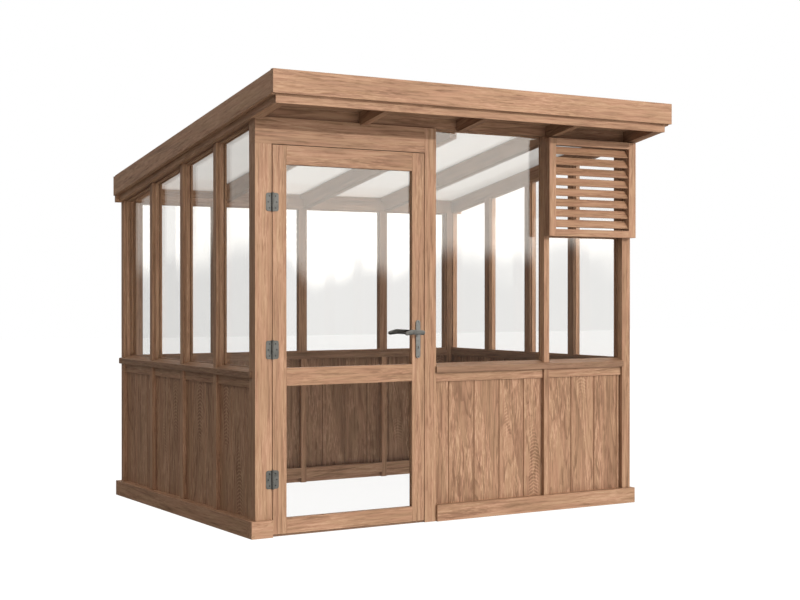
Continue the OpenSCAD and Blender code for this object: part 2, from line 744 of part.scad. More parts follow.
// Louvre vent: a box frame on the face of the wall, with slats housed in its stiles
slat_room = vent_h - vent_bottom_h - vent_top_h;
slat_pitch = (slat_room - slat_rise - 2*slat_edge)/(slats - 1);
module slat_outline(k) translate([-vent_d + slat_in, vent_z + vent_bottom_h + slat_edge + k*slat_pitch])
    rotate(atan2(slat_rise, slat_run)) square([norm([slat_rise, slat_run]), slat_t]);
module louvre_slats_at_rest() for (k = [0 : slats - 1])
    run(vent_x + vent_left_w - slat_trench, vent_x + vent_w - vent_right_w + slat_trench)
        slat_outline(k);
module louvre_frame() color(timber) placed() {
    for (x = [[vent_x, vent_x + vent_left_w], [vent_x + vent_w - vent_right_w, vent_x + vent_w]])
        difference() {
            block(x, [-vent_d, 0], [vent_z, vent_z1]);
            louvre_slats_at_rest();
        }
    for (z = [[vent_z, vent_z + vent_bottom_h], [vent_z1 - vent_top_h, vent_z1]])
        block([vent_x + vent_left_w + play, vent_x + vent_w - vent_right_w - play], [-vent_d, 0], z);
}
module louvre_slats() color(timber_pale) placed() louvre_slats_at_rest();

// Door stops behind the closed leaf
stop_y = leaf_t + stop_gap;
module door_stops() color(timber) placed() {
    block([jamb_w, jamb_w + stop_t], [stop_y, frame_d], [threshold_h, header_z]);
    block([lock_post_x - stop_t, lock_post_x], [stop_y, frame_d], [threshold_h, header_z]);
    block([jamb_w + stop_t + play, lock_post_x - stop_t - play], [stop_y, frame_d],
          [header_z - stop_t, header_z]);
}

// Door leaf: stiles and rails rebated for the panes from inside, with stub tenons
module door_rebates() for (l = door_lights)
    block([l[0] - door_bite, l[1] + door_bite], [door_glass_set, leaf_t + cut],
          [l[2] - door_bite, l[3] + door_bite]);
rail_levels = [
    [leaf_z, leaf_z + bottom_rail_h],
    [middle_rail_z, middle_rail_z + middle_rail_h],
    [leaf_z1 - top_rail_h, leaf_z1]];
module tenons(x0, x1, z, p) block([x0 - tenon_l - p, x1 + tenon_l + p],
    [tenon_set - p, tenon_set + tenon_t + p], [z[0] + tenon_shoulder - p, z[1] - tenon_shoulder + p]);
module mortises() for (z = rail_levels) tenons(stile_x1, lock_stile_x, z, play);
module stile(x0, x1) difference() {
    block([x0, x1], [0, leaf_t], [leaf_z, leaf_z1]);
    door_rebates();
    mortises();
}
module door_rail(z) difference() {
    union() {
        block([stile_x1, lock_stile_x], [0, leaf_t], z);
        tenons(stile_x1, lock_stile_x, z, 0);
    }
    door_rebates();
}
module hinge_stile() color(timber) placed() stile(leaf_x, stile_x1);
module lock_stile() color(timber) placed() difference() {
    stile(lock_stile_x, leaf_x1);
    lock_housing();
}
module door_bottom_rail() color(timber_pale) placed() door_rail(rail_levels[0]);
module door_middle_rail() color(timber_pale) placed() door_rail(rail_levels[1]);
module door_top_rail() color(timber_pale) placed() door_rail(rail_levels[2]);
module door_panes() color(glass) placed() for (l = door_lights)
    block([l[0] - door_bite + play, l[1] + door_bite - play],
          [door_glass_set, door_glass_set + glass_t], [l[2] - door_bite, l[3] + door_bite - play]);
module door_beads() color(timber) placed() for (l = door_lights) {
    y = [door_glass_set + glass_t, door_glass_set + glass_t + door_bead_d];
    translate([0, 0, l[2] - door_bite]) linear_extrude(l[3] - l[2] + 2*door_bite) {
        rebate_bead(l[0] - door_bite, l[0], y[0], y[1]);
        rebate_bead(l[1] + door_bite, l[1], y[0], y[1]);
    }
    for (z = [l[2] - door_bite, l[3]])
        block([l[0] + play, l[1] - play], y, [z, z + door_bite]);
}

// Hinges: a leaf on the post with two knuckles, a leaf on the door with one, and a loose pin
knuckle_h = hinge_h/3;
module hinge_plate(x0, x1, z) {
    c = hinge_corner;
    side = x0 < hinge_x ? x0 : x1 - c;
    slab(-hinge_t, 0) {
        translate([x0 + (x0 < hinge_x ? c : 0), z - hinge_h/2]) square([x1 - x0 - c, hinge_h]);
        translate([side, z - hinge_h/2 + c]) square([c, hinge_h - 2*c]);
        for (w = [-1, 1]) translate([x0 < hinge_x ? x0 + c : x1 - c, z + w*(hinge_h/2 - c)]) circle(c);
    }
}
module hinge_fixed_leaves() color(pewter) placed() for (z = hinge_z) {
    x1 = hinge_x - leaf_gap/2;
    difference() {
        union() {
            hinge_plate(x1 - fixed_leaf_w, x1 - free, z);
            for (k = [-1, 1]) translate([hinge_x, hinge_y, z + (k - 0.5)*knuckle_h + free/2])
                cylinder(h = knuckle_h - free, r = knuckle_r);
        }
        translate([hinge_x, hinge_y, z - hinge_h]) cylinder(h = 2*hinge_h, r = pin_r + run_play);
        translate([hinge_x, hinge_y, z - knuckle_h/2 - free/2])
            cylinder(h = knuckle_h + free, r = knuckle_r + free);
    }
}
module hinge_moving_leaves() color(pewter) placed() for (z = hinge_z) {
    x0 = hinge_x + leaf_gap/2;
    difference() {
        union() {
            hinge_plate(x0 + free, x0 + moving_leaf_w + free, z);
            translate([hinge_x, hinge_y, z - knuckle_h/2 + free/2])
                cylinder(h = knuckle_h - free, r = knuckle_r);
        }
        translate([hinge_x, hinge_y, z - hinge_h]) cylinder(h = 2*hinge_h, r = pin_r + run_play);
        for (k = [-1, 1]) translate([hinge_x, hinge_y, z + (k - 0.5)*knuckle_h - free/2])
            cylinder(h = knuckle_h + free, r = knuckle_r + free);
    }
}
module hinge_pins() color(steel) placed() for (z = hinge_z) translate([hinge_x, hinge_y, 0]) {
    translate([0, 0, z - hinge_h/2 - screw_out]) cylinder(h = hinge_h + 2*screw_out, r = pin_r);
    for (w = [z + hinge_h/2 + free, z - hinge_h/2 - free - 2*screw_out])
        translate([0, 0, w]) cylinder(h = 2*screw_out, r = knuckle_r - free);
}

// Lock: a case in the lock stile behind its face plate, and a strike plate in the post
case_x = leaf_x1 - face_t - case_l;
case_z = lever_z - case_drop;
module lock_box(p) {
    block([case_x - p, leaf_x1 - face_t + p], [lock_y - case_t/2 - p, lock_y + case_t/2 + p],
          [case_z - p, case_z + case_h + p]);
    block([leaf_x1 - face_t - p, leaf_x1 + (p > 0 ? cut : 0)],
          [lock_y - face_w/2 - p, lock_y + face_w/2 + p],
          [case_z + case_h/2 - face_len/2 - p, case_z + case_h/2 + face_len/2 + p]);
}
module lock_housing() {
    lock_box(play);
    bar_y(lever_x, lever_z, -cut, leaf_t + cut, neck_r + free);
}
module lock_case() color(steel) placed() difference() {
    lock_box(0);
    block([case_x + case_wall, leaf_x1 - face_t],
          [lock_y - case_t/2 + case_wall, lock_y + case_t/2 - case_wall],
          [case_z + case_wall, case_z + case_h - case_wall]);
    bar_y(lever_x, lever_z, lock_y - case_t, lock_y + case_t, neck_r);
    block([leaf_x1 - 2*face_t, leaf_x1 + cut],
          [lock_y - bolt_t/2 - play, lock_y + bolt_t/2 + play],
          [bolt_z - bolt_h/2 - play, bolt_z + bolt_h/2 + play]);
}
module latch_bolt() color(steel) placed() translate([0, 0, bolt_z - bolt_h/2])
    linear_extrude(bolt_h) polygon([
        [leaf_x1 - bolt_in, lock_y - bolt_t/2], [leaf_x1 + bolt_out, lock_y - bolt_t/2],
        [leaf_x1 + bolt_out, lock_y + bolt_t/2 - bolt_out], [leaf_x1, lock_y + bolt_t/2],
        [leaf_x1 - bolt_in, lock_y + bolt_t/2]]);
module strike_housing() {
    block([strike_x - cut, strike_x + face_t], [lock_y - face_w/2 - play, lock_y + face_w/2 + play],
          [bolt_z - strike_h/2 - play, bolt_z + strike_h/2 + play]);
    strike_hole(strike_x, strike_x + face_t + strike_pocket);
}
module strike_hole(x0, x1) block([x0, x1],
    [lock_y - bolt_t/2 - strike_room, lock_y + bolt_t/2 + strike_room],
    [bolt_z - bolt_h/2 - strike_room, bolt_z + bolt_h/2 + strike_room]);
module strike_plate() color(steel) placed() difference() {
    block([strike_x, strike_x + face_t], [lock_y - face_w/2, lock_y + face_w/2],
          [bolt_z - strike_h/2, bolt_z + strike_h/2]);
    strike_hole(strike_x - cut, strike_x + face_t + cut);
}

// Back plates with round ends, bored for the levers' necks
plate_z = [lever_z + plate_up - plate_len, lever_z + plate_up];
key_z = lever_z - key_drop;
module back_plate(y0, y1) difference() {
    slab(y0, y1) {
        translate([lever_x - plate_w/2, plate_z[0] + plate_w/2])
            square([plate_w, plate_len - plate_w]);
        for (z = [plate_z[0] + plate_w/2, plate_z[1] - plate_w/2]) translate([lever_x, z])
            circle(plate_w/2);
    }
    bar_y(lever_x, lever_z, y0 - cut, y1 + cut, neck_r + run_play);
    bar_y(lever_x, key_z, y0 - cut, y1 + cut, key_r);
    block([lever_x - key_r/2, lever_x + key_r/2], [y0 - cut, y1 + cut], [key_z - 3*key_r, key_z]);
}
module back_plates() color(pewter) placed() {
    back_plate(-plate_t, 0);
    back_plate(leaf_t, leaf_t + plate_t);
}

// Screws: their heads on the hinges and on the back plates
module screw_head(x, z, y, way, r) bar_y(x, z, min(y, y + way*screw_out), max(y, y + way*screw_out), r);
module hinge_screws(x, way) for (z = hinge_z, w = [-1, 0, 1])
    screw_head(x + way*(w == 0 ? screw_far : screw_near), z + w*screw_pitch, -hinge_t, -1, screw_r);
module jamb_screws() color(steel) placed() hinge_screws(jamb_w, -1);
module door_screws() color(steel) placed() {
    for (z = [plate_z[0] + plate_screw_end, plate_z[1] - plate_screw_end]) {
        screw_head(lever_x, z, -plate_t, -1, plate_screw_r);
        screw_head(lever_x, z, leaf_t + plate_t, 1, plate_screw_r);
    }
    hinge_screws(leaf_x, 1);
}

// Levers: a neck through the back plate and a blade that rises to a crown, droops to its tip and
// swings away from the door
module blade_end(along, rise, y, h, t)
    bar_y(lever_x - along, lever_z + rise, y - t/2, y + t/2, h/2, $fn = 32);
module lever(side) {
    face = side < 0 ? 0 : leaf_t;
    y = face + side*lever_out;
    crown_y = y + side*lever_flare/2;
    tip_y = y + side*lever_flare;
    difference() {
        union() {
            bar_y(lever_x, lever_z, min(face, y), max(face, y), neck_r);
            hull() {
                blade_end(0, 0, y, lever_root_h, lever_t);
                blade_end(crown_x, crown_rise, crown_y, crown_h, lever_t - lever_thin);
            }
            hull() {
                blade_end(crown_x, crown_rise, crown_y, crown_h, lever_t - lever_thin);
                blade_end(lever_len - lever_tip_h/2, -tip_drop, tip_y, lever_tip_h,
                          lever_t - 2*lever_thin);
            }
        }
        spindle_bar(play);
    }
}
module spindle_bar(p) block([lever_x - spindle_w/2 - p, lever_x + spindle_w/2 + p],
    [-lever_out/2 - p, leaf_t + lever_out/2 + p],
    [lever_z - spindle_w/2 - p, lever_z + spindle_w/2 + p]);
module lever_handles() color(pewter) placed() {
    lever(-1);
    lever(1);
}
module spindle() color(steel) placed() {
    spindle_bar(0);
    difference() {
        bar_y(lever_x, lever_z, lock_y - case_t/2 + case_wall + free,
              lock_y + case_t/2 - case_wall - free, follower_r);
        spindle_bar(0);
    }
}

front_plinth();
side_plinths();
back_plinth();
threshold();
jamb_post();
lock_post();
front_right_post();
front_mullion();
vent_transom();
door_header();
front_wall_plate();
back_wall_plate();
eaves_blocking();
side_studs();
back_studs();
front_sill();
side_sills();
back_sill();
front_rails();
side_rails();
back_rails();
front_boards();
side_boards();
back_boards();
rafters();
roof_panes();
glazing_bars();
front_fascia();
back_fascia();
side_fascias();
front_lower_fascia();
back_lower_fascia();
side_lower_fascias();
front_panes();
side_panes();
back_panes();
front_beads();
side_beads();
back_beads();
louvre_frame();
louvre_slats();
door_stops();
hinge_fixed_leaves();
strike_plate();
hinge_stile();
lock_stile();
door_top_rail();
door_middle_rail();
door_bottom_rail();
door_panes();
door_beads();
hinge_moving_leaves();
hinge_pins();
lock_case();
back_plates();
jamb_screws();
door_screws();
lever_handles();
spindle();
latch_bolt();
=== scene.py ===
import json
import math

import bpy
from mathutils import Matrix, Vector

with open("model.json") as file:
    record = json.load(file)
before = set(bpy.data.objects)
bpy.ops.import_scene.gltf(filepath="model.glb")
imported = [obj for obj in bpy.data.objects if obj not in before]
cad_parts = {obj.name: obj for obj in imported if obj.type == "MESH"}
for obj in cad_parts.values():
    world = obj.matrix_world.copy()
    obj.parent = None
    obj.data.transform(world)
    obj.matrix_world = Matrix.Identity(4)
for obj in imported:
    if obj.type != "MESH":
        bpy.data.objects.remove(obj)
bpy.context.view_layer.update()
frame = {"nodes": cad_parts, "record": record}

# %% [markdown]
# ## A timber greenhouse with a pent roof
# This lesson dresses a small garden building: a softwood frame, glass over boards, a door on three
# hinges and a louvre vent. The joinery arrives as a fixed frame of solids, each of them named and at its
# real size. Here they get their finish: eased edges, grain that runs along every timber, glass that
# carries a little of the sky, and metal with a satin lacquer. The light and the camera come last.
# All lengths are metres. The front wall looks along -Y, and +Z is up.

NODES = frame["nodes"]
SLOT_OF = {part["node"]: part["material_slot"] for part in frame["record"]["subparts"]}

# %% [markdown]
# ## Shader maths as plain expressions
# A finish is a graph of nodes. Written node by node it is long and hard to read, so one small class
# wraps an output and teaches it to add, subtract and multiply. An expression such as
# `1 - streak * 0.3` then adds its own Math nodes. Every other kind of node comes from one method that
# takes its type, its settings and what goes into its sockets.

# %% A wire that can be calculated with
class Wire:
    """The output of a node. Sums with it add Math nodes to the same finish."""

    def __init__(self, finish, socket):
        self.finish = finish
        self.socket = socket

    def maths(self, operation, first, second):
        return self.finish.maths(operation, first, second)

    def __add__(self, other):
        return self.maths("ADD", self, other)

    def __radd__(self, other):
        return self.maths("ADD", other, self)

    def __sub__(self, other):
        return self.maths("SUBTRACT", self, other)

    def __rsub__(self, other):
        return self.maths("SUBTRACT", other, self)

    def __mul__(self, other):
        return self.maths("MULTIPLY", self, other)

    def __rmul__(self, other):
        return self.maths("MULTIPLY", other, self)

    def __pow__(self, other):
        return self.maths("POWER", self, other)


# %% A material, or the world, that nodes are added to
class Finish:
    """A material, or the world, and the one way to add a node to it."""

    def __init__(self, owner):
        owner.use_nodes = True
        self.owner = owner
        self.tree = owner.node_tree
        self.tree.nodes.clear()

    def node(self, kind, settings=None, inputs=None, out=0):
        made = self.tree.nodes.new(kind)
        for name, value in (settings or {}).items():
            if name == "stops":
                self.set_stops(made.color_ramp, value)
            else:
                setattr(made, name, value)
        for key, value in (inputs or {}).items():
            if isinstance(value, Wire):
                self.tree.links.new(value.socket, made.inputs[key])
            else:
                made.inputs[key].default_value = value
        return Wire(self, made.outputs[out]) if made.outputs else made

    @staticmethod
    def set_stops(ramp, stops):
        while len(ramp.elements) < len(stops):
            ramp.elements.new(0.5)
        for element, (place, colour) in zip(ramp.elements, stops):
            element.position = place
            element.color = (*colour, 1)

    def blend(self, amount, first, second):
        """A colour between two colours."""
        return self.node(
            "ShaderNodeMix", {"data_type": "RGBA"}, {0: amount, 6: first, 7: second}, out=2)

    def vectors(self, operation, first, second, out=0):
        return self.node("ShaderNodeVectorMath", {"operation": operation}, {0: first, 1: second}, out)

    def noise(self, place, detail=2.0, roughness=0.5, distortion=0.0):
        """A soft pattern that lies about 0.5, so that `noise - 0.5` adds as much as it takes away."""
        return self.node("ShaderNodeTexNoise", {}, {
            "Vector": place, "Scale": 1.0, "Detail": detail, "Roughness": roughness,
            "Distortion": distortion})

    def pattern(self, place, per_metre, **settings):
        """A noise that repeats so many times in a metre along each axis."""
        return self.noise(self.vectors("MULTIPLY", place, per_metre), **settings)

    def maths(self, operation, first, second):
        return self.node("ShaderNodeMath", {"operation": operation}, {0: first, 1: second})

    def smooth_step(self, value, low, high, first=0.0, last=1.0):
        return self.node("ShaderNodeMapRange", {"interpolation_type": "SMOOTHSTEP"}, {
            "Value": value, "From Min": low, "From Max": high, "To Min": first, "To Max": last})


# %% [markdown]
# ## Which way each timber runs
# One node may hold many timbers, such as the beads round a pane. The grain has to run along each of
# them, so the faces are first gathered into timbers, and each timber takes the finish of its longest
# side. This only sets which finish a face wears; not a corner is moved.

# %% Faces gathered into timbers
# Corners that agree to this many digits of a metre are one corner
CORNER_DIGITS = 5


def timbers_of(mesh):
    """Each timber in a mesh: the numbers of its faces, and its lowest and highest corner."""
    corners = [tuple(round(c, CORNER_DIGITS) for c in vertex.co) for vertex in mesh.vertices]
    leader = {corner: corner for corner in corners}

    def lead(corner):
        while leader[corner] != corner:
            leader[corner] = leader[leader[corner]]
            corner = leader[corner]
        return corner

    for face in mesh.polygons:
        first = lead(corners[face.vertices[0]])
        for number in face.vertices[1:]:
            leader[lead(corners[number])] = first
    faces = {}
    for face in mesh.polygons:
        faces.setdefault(lead(corners[face.vertices[0]]), []).append(face.index)
    spans = {}
    for corner in corners:
        low, high = spans.setdefault(lead(corner), (list(corner), list(corner)))
        for axis in range(3):
            low[axis] = min(low[axis], corner[axis])
            high[axis] = max(high[axis], corner[axis])
    return [(numbers, spans[key]) for key, numbers in faces.items()]


print("timbers in the side studs:", len(timbers_of(NODES["side_studs"].data)))

# %% The direction of one timber
SLOPED_NODES = {"rafters", "glazing_bars", "side_fascias", "side_lower_fascias"}
# The head beads of the side walls follow the roof, so they rise by more than this
HEAD_BEAD_RISE = 0.04


def direction(node, low, high):
    """The axis that a timber is longest along, or the roof's slope."""
    size = [high[axis] - low[axis] for axis in range(3)]
    axis = "xyz"[size.index(max(size))]
    sloping = node in SLOPED_NODES or (node == "side_beads" and size[2] > HEAD_BEAD_RISE)
    return "slope" if axis == "y" and sloping else axis


# %% [markdown]
# ## Timber
# A real board is cut from a trunk, so its figure is a slice through long, slightly wavy growth rings.
# That is what the shader builds: a field that changes slowly along the grain and quickly across it, cut
# into rings. Over the rings lie soft streaks and short dark pores. Each timber takes a place of its own
# in the field, so no two boards share a figure, and each is a little paler or darker than its neighbour.

# %% The grain's directions
ROOF_PITCH = math.radians(9.75)
ALONG = {"x": (1, 0, 0), "y": (0, 1, 0), "z": (0, 0, 1), "slope": (0, 1, 0)}
# The rings lie askew to a timber's faces, so that they show on all of its long sides
SKEW = (0.62, 0.78)
ACROSS = {
    "x": (0, SKEW[0], SKEW[1]), "y": (SKEW[0], 0, SKEW[1]),
    "z": (SKEW[1], SKEW[0], 0), "slope": (SKEW[0], 0, SKEW[1])}


def stretched(along, per_metre_along, per_metre_across):
    """How many times a pattern repeats in a metre along the grain and across it, as a vector."""
    return tuple(
        per_metre_along if share else per_metre_across for share in ALONG[along])


print("directions of grain:", ", ".join(ALONG))

# %% The stain: the level of each colour, from dark grain through middle wood to pale wood
STAIN = (
    (0.05, (0.190, 0.098, 0.053)),
    (0.50, (0.345, 0.194, 0.113)),
    (0.95, (0.450, 0.272, 0.168)))
# Softwood is never one hue: faintly rosy streaks lie among straw-coloured ones
ROSY = (1.015, 0.975, 0.985)
STRAW = (0.995, 1.01, 0.985)
HUE_EDGES = (0.36, 0.64)


def shade(colour, amount):
    return tuple(channel * amount for channel in colour)


# %% The kinds of timber
# slot: (tone, how curly the figure is, how many rings lie across a metre, how dark the rings are)
TIMBERS = {
    "frame_timber": (0.95, 5.0, 62.0, 0.18),
    "threshold_timber": (0.60, 4.0, 70.0, 0.20),
    # The roof timbers are set darker than the frame. This is partly painted shade, so that the blocking
    # under the eaves reads deep in shade.
    "roof_timber": (0.84, 5.0, 58.0, 0.16),
    # The sill is set much darker than the frame. This is partly painted shade, for the shadow that falls
    # under its nose.
    "sill_timber": (0.63, 4.0, 60.0, 0.14),
    "board_timber": (0.94, 17.0, 34.0, 0.26),
    "fascia_timber": (1.00, 6.0, 52.0, 0.15),
    "bead_timber": (0.95, 3.0, 75.0, 0.10),
    "louvre_timber": (0.98, 4.0, 66.0, 0.14),
    "door_timber": (0.94, 5.0, 60.0, 0.18),
}
# How pale the short flecks are on each kind of timber
FLECKS = {slot: 0.32 for slot in TIMBERS} | {"board_timber": 0.66}
# How strongly the streaks show on it
STREAKS = {slot: 1.32 for slot in TIMBERS} | {"board_timber": 1.05}
# The back wall's boards are set darker than the rest, because their shade comes out too pale otherwise
DARKENED = {"back_boards_z": 0.80}
print("kinds of timber:", len(TIMBERS))

# %% The patterns of the grain: how often each repeats in a metre, along the grain and across it
RING_FIELD = (0.75, 5.5)
RIPPLE = (5.0, 26.0)
STREAK = (3.2, 48.0)
PORE = (11.0, 118.0)
CLOUD = (0.9, 3.0)
FLECK = (17.0, 150.0)
FLECK_CROWD = (1.8, 9.0)
HUE = (4.0, 34.0)
# How far apart in the field two timbers can lie, along each axis
OWN_PLACE = (41.0, 67.0, 53.0)


class Wood(Finish):
    """A finish with a direction of grain, and a place of its own in the field for each timber."""

    def __init__(self, name, along):
        super().__init__(bpy.data.materials.new(name))
        self.along = along
        self.seat = place = self.node("ShaderNodeTexCoord", out="Object")
        if along == "slope":
            place = self.node("ShaderNodeVectorRotate", {"rotation_type": "X_AXIS"}, {
                "Vector": place, "Angle": ROOF_PITCH})
        self.member = self.node("ShaderNodeNewGeometry", out="Random Per Island")
        self.own_place = self.vectors("ADD", place, self.node("ShaderNodeCombineXYZ", {}, {
            axis: self.member * reach for axis, reach in zip("XYZ", OWN_PLACE)}))

    def grain(self, repeats, **settings):
        return self.pattern(self.own_place, stretched(self.along, *repeats), **settings)


# %% Rings, pores and flecks
RIPPLE_WEIGHT = 0.8
RING_SOFT_SIDE = 0.55
RING_SHARP_SIDE = 0.97
PORE_EDGES = (0.50, 0.72)
FLECK_EDGES = (0.47, 0.66)
CROWD_EDGES = (0.36, 0.62)


def rings(wood, curl, rings_per_metre):
    """The dark line of each ring: a slow field cut into steps, with a soft side and a sharp side."""
    field = wood.grain(RING_FIELD, detail=1.2, distortion=0.35)
    ripple = wood.grain(RIPPLE, detail=1.0)
    side = wood.vectors("DOT_PRODUCT", wood.own_place, ACROSS[wood.along], out="Value")
    count = field * curl + side * rings_per_metre + ripple * RIPPLE_WEIGHT
    ring = wood.node("ShaderNodeMath", {"operation": "FRACT"}, {0: count})
    rise = wood.smooth_step(ring, RING_SOFT_SIDE, RING_SHARP_SIDE)
    return rise * wood.smooth_step(ring, RING_SHARP_SIDE, 1.0, 1.0, 0.0)


def pores(wood):
    return wood.smooth_step(wood.grain(PORE, detail=2.0, roughness=0.65), *PORE_EDGES)


def flecks(wood):
    """Short pale flecks, gathered into crowds."""
    fleck = wood.smooth_step(wood.grain(FLECK, detail=2.0, roughness=0.6), *FLECK_EDGES)
    crowd = wood.smooth_step(wood.grain(FLECK_CROWD, detail=1.0), *CROWD_EDGES)
    return fleck * crowd


# %% [markdown]
# ## The arches of a flat-sawn board
# Where the saw passes close to the heart of the trunk, the rings show as a narrow stack of pointed
# arches. A noise alone gives flames, and not such a stack, so this figure is drawn by a rule: steps
# that climb the board and fall away on both sides of a centre line. The centre lines have to fall on
# the boards, so each wall's boards have a finish of their own, with the pitch and the first full board
# measured on that wall. Only some boards have the figure, and only in patches.

# %% Where the boards of a wall stand
# The heart of the trunk, as a share of the pitch: a little left of a board's middle
HEART = 0.42


def boards_of(piece):
    """The pitch of a wall's boards, and where the heart of one of them is.

    The place of the heart is x + y, so one sum serves walls along x and along y. The side walls share
    a node and stand about fourteen boards apart, so it serves both of them to within some 12 mm.
    """
    spans = [span for numbers, span in timbers_of(piece.data)]
    widest = [max(high[axis] - low[axis] for low, high in spans) for axis in (0, 1)]
    along, across = (0, 1) if widest[0] > widest[1] else (1, 0)
    starts = sorted({round(low[along], 3) for low, high in spans})
    gaps = [after - before for before, after in zip(starts, starts[1:])]
    pitch = max(gaps)
    start = starts[gaps.index(pitch)]
    return pitch, start + HEART * pitch + spans[0][0][across]


for wall in ("front_boards", "side_boards", "back_boards"):
    print(wall, "stand", round(boards_of(NODES[wall])[0], 3), "m apart")

# %% A stack of pale arches on some boards
ARCH_HALF_WIDTH = 0.042
ARCHES_PER_METRE = 52.0
# How steeply and by which power the arches fall away from the centre line
ARCH_BEND = 130.0
ARCH_POWER = 1.5
# From this share of the half width outward the arches fade
ARCH_FADE = 0.6
# The centre line sways by metres, and the arches wander by a share of a step
SWAY = 0.03
SWAY_PER_METRE = (2.0, 2.0, 3.0)
WANDER = 0.8
WANDER_PER_METRE = (60.0, 60.0, 26.0)
PATCH_PER_METRE = (1.5, 1.5, 2.4)
PATCH_EDGES = (0.45, 0.58)
LINE_EDGES = (0.40, 0.95)
# Boards whose own random number is above this one have the figure
CHOSEN_ABOVE = 0.66
ARCH_STRENGTH = 0.46
# How much of that strength darkens the wood between the arches
BETWEEN_ARCHES = 0.42


def arches(wood, pitch, heart):
    place = wood.own_place
    height = wood.node("ShaderNodeSeparateXYZ", {}, {"Vector": place}, out="Z")
    side = wood.vectors("DOT_PRODUCT", wood.seat, (1, 1, 0), out="Value") - heart
    sway = wood.pattern(place, SWAY_PER_METRE, detail=1.0) - 0.5
    wander = wood.pattern(place, WANDER_PER_METRE, detail=2.0) - 0.5
    off_centre = wood.maths("PINGPONG", side + sway * SWAY, pitch / 2)
    steps = height * ARCHES_PER_METRE + off_centre ** ARCH_POWER * ARCH_BEND + wander * WANDER
    line = wood.maths("PINGPONG", steps, 0.5) * 2
    inside = wood.smooth_step(off_centre, ARCH_HALF_WIDTH * ARCH_FADE, ARCH_HALF_WIDTH, 1.0, 0.0)
    patch = wood.smooth_step(wood.pattern(place, PATCH_PER_METRE, detail=1.0), *PATCH_EDGES)
    chosen = wood.maths("GREATER_THAN", wood.member, CHOSEN_ABOVE)
    figure = wood.smooth_step(line, *LINE_EDGES) - BETWEEN_ARCHES
    return figure * inside * patch * chosen * ARCH_STRENGTH


# %% [markdown]
# ## The stain's level
# All the patterns add to one number, the level, and a ramp turns it into a colour: dark grain at the
# bottom, pale wood at the top. One number is easier to tune than many layers of colour, and the same
# patterns then set how rough the surface is and how deep the grain feels.

# %% The timber finish
PLAIN_WOOD = 0.56
# What is taken off again for the flecks, as a share of their weight
FLECK_OFFSET = 0.22
CLOUD_WEIGHT = 0.40
MEMBER_WEIGHT = 0.18
PORE_WEIGHT = 0.20
OILED_ROUGHNESS = 0.50
OILED_SHINE = 0.2
GRAIN_DEPTH = 0.0007


def timber(name, slot, along, boards=None):
    tone, curl, rings_per_metre, ring_depth = TIMBERS[slot]
    tone = tone * DARKENED.get(name, 1.0)
    wood = Wood(name, along)
    ring_line = rings(wood, curl, rings_per_metre)
    streak = wood.grain(STREAK, detail=2.5, roughness=0.6)
    pore = pores(wood)
    cloud = wood.grain(CLOUD, detail=1.0)
    level = (
        PLAIN_WOOD
        + (streak - 0.5) * STREAKS[slot]
        + flecks(wood) * FLECKS[slot] - FLECKS[slot] * FLECK_OFFSET
        + (cloud - 0.5) * CLOUD_WEIGHT
        + (wood.member - 0.5) * MEMBER_WEIGHT
        - pore * PORE_WEIGHT
        - ring_line * ring_depth
    )
    if boards:
        level = level + arches(wood, *boards)
    stops = [(at, shade(colour, tone)) for at, colour in STAIN]
    stain = wood.node("ShaderNodeValToRGB", {"stops": stops}, {"Fac": level})
    hue = wood.smooth_step(wood.grain(HUE, detail=2.0), *HUE_EDGES)
    colour = wood.vectors("MULTIPLY", stain, wood.blend(hue, (*ROSY, 1), (*STRAW, 1)))
    roughness = OILED_ROUGHNESS + pore * 0.14 + (streak - 0.5) * 0.16
    height = (streak - 0.5) * 0.5 - pore * 0.6 - ring_line * 0.35
    bump = wood.node("ShaderNodeBump", {}, {
        "Strength": 0.55, "Distance": GRAIN_DEPTH, "Height": height})
    skin = wood.node("ShaderNodeBsdfPrincipled", {}, {
        "Base Color": colour, "Roughness": roughness, "Normal": bump,
        "Specular IOR Level": OILED_SHINE})
    wood.node("ShaderNodeOutputMaterial", {}, {"Surface": skin})
    return wood.owner


# %% [markdown]
# ## Eased edges
# No joiner leaves a sharp arris: it splinters, and paint and oil run off it. A few strokes of a plane
# take about a millimetre off, and that narrow facet is what catches the light along a real frame. The
# Bevel modifier does the same here. The imported faces don't share their corners, so a Weld comes first.

# %% Eased edges by two modifiers
EASED = 0.0013
EASED_BEAD = 0.0008
# Corners this close are one corner, and an edge that turns by more than this angle is an arris
SAME_CORNER = 0.00001
ARRIS_ANGLE = math.radians(35)


def ease(piece, width):
    weld = piece.modifiers.new("weld", "WELD")
    weld.merge_threshold = SAME_CORNER
    bevel = piece.modifiers.new("eased_edges", "BEVEL")
    bevel.width = width
    bevel.segments = 2
    bevel.limit_method = "ANGLE"
    bevel.angle_limit = ARRIS_ANGLE


# %% Timber finishes on all timber nodes
finishes = {}


def finish_of(node, slot, along):
    """The finish of a kind of timber that runs one way. Each wall's boards have one of their own."""
    name = f"{node if slot == 'board_timber' else slot}_{along}"
    if name not in finishes:
        boards = boards_of(NODES[node]) if slot == "board_timber" and along == "z" else None
        finishes[name] = timber(name, slot, along, boards)
    return finishes[name]


def dress_timbers(name, piece, slot):
    """Gives each timber of a node the finish that runs its way."""
    piece.data.materials.clear()
    worn = []
    for numbers, (low, high) in timbers_of(piece.data):
        along = direction(name, low, high)
        if along not in worn:
            worn.append(along)
            piece.data.materials.append(finish_of(name, slot, along))
        for number in numbers:
            piece.data.polygons[number].material_index = worn.index(along)


for name, piece in NODES.items():
    slot = SLOT_OF[name]
    if slot in TIMBERS:
        dress_timbers(name, piece, slot)
        ease(piece, EASED_BEAD if slot == "bead_timber" else EASED)
print("timber finishes:", len(finishes))

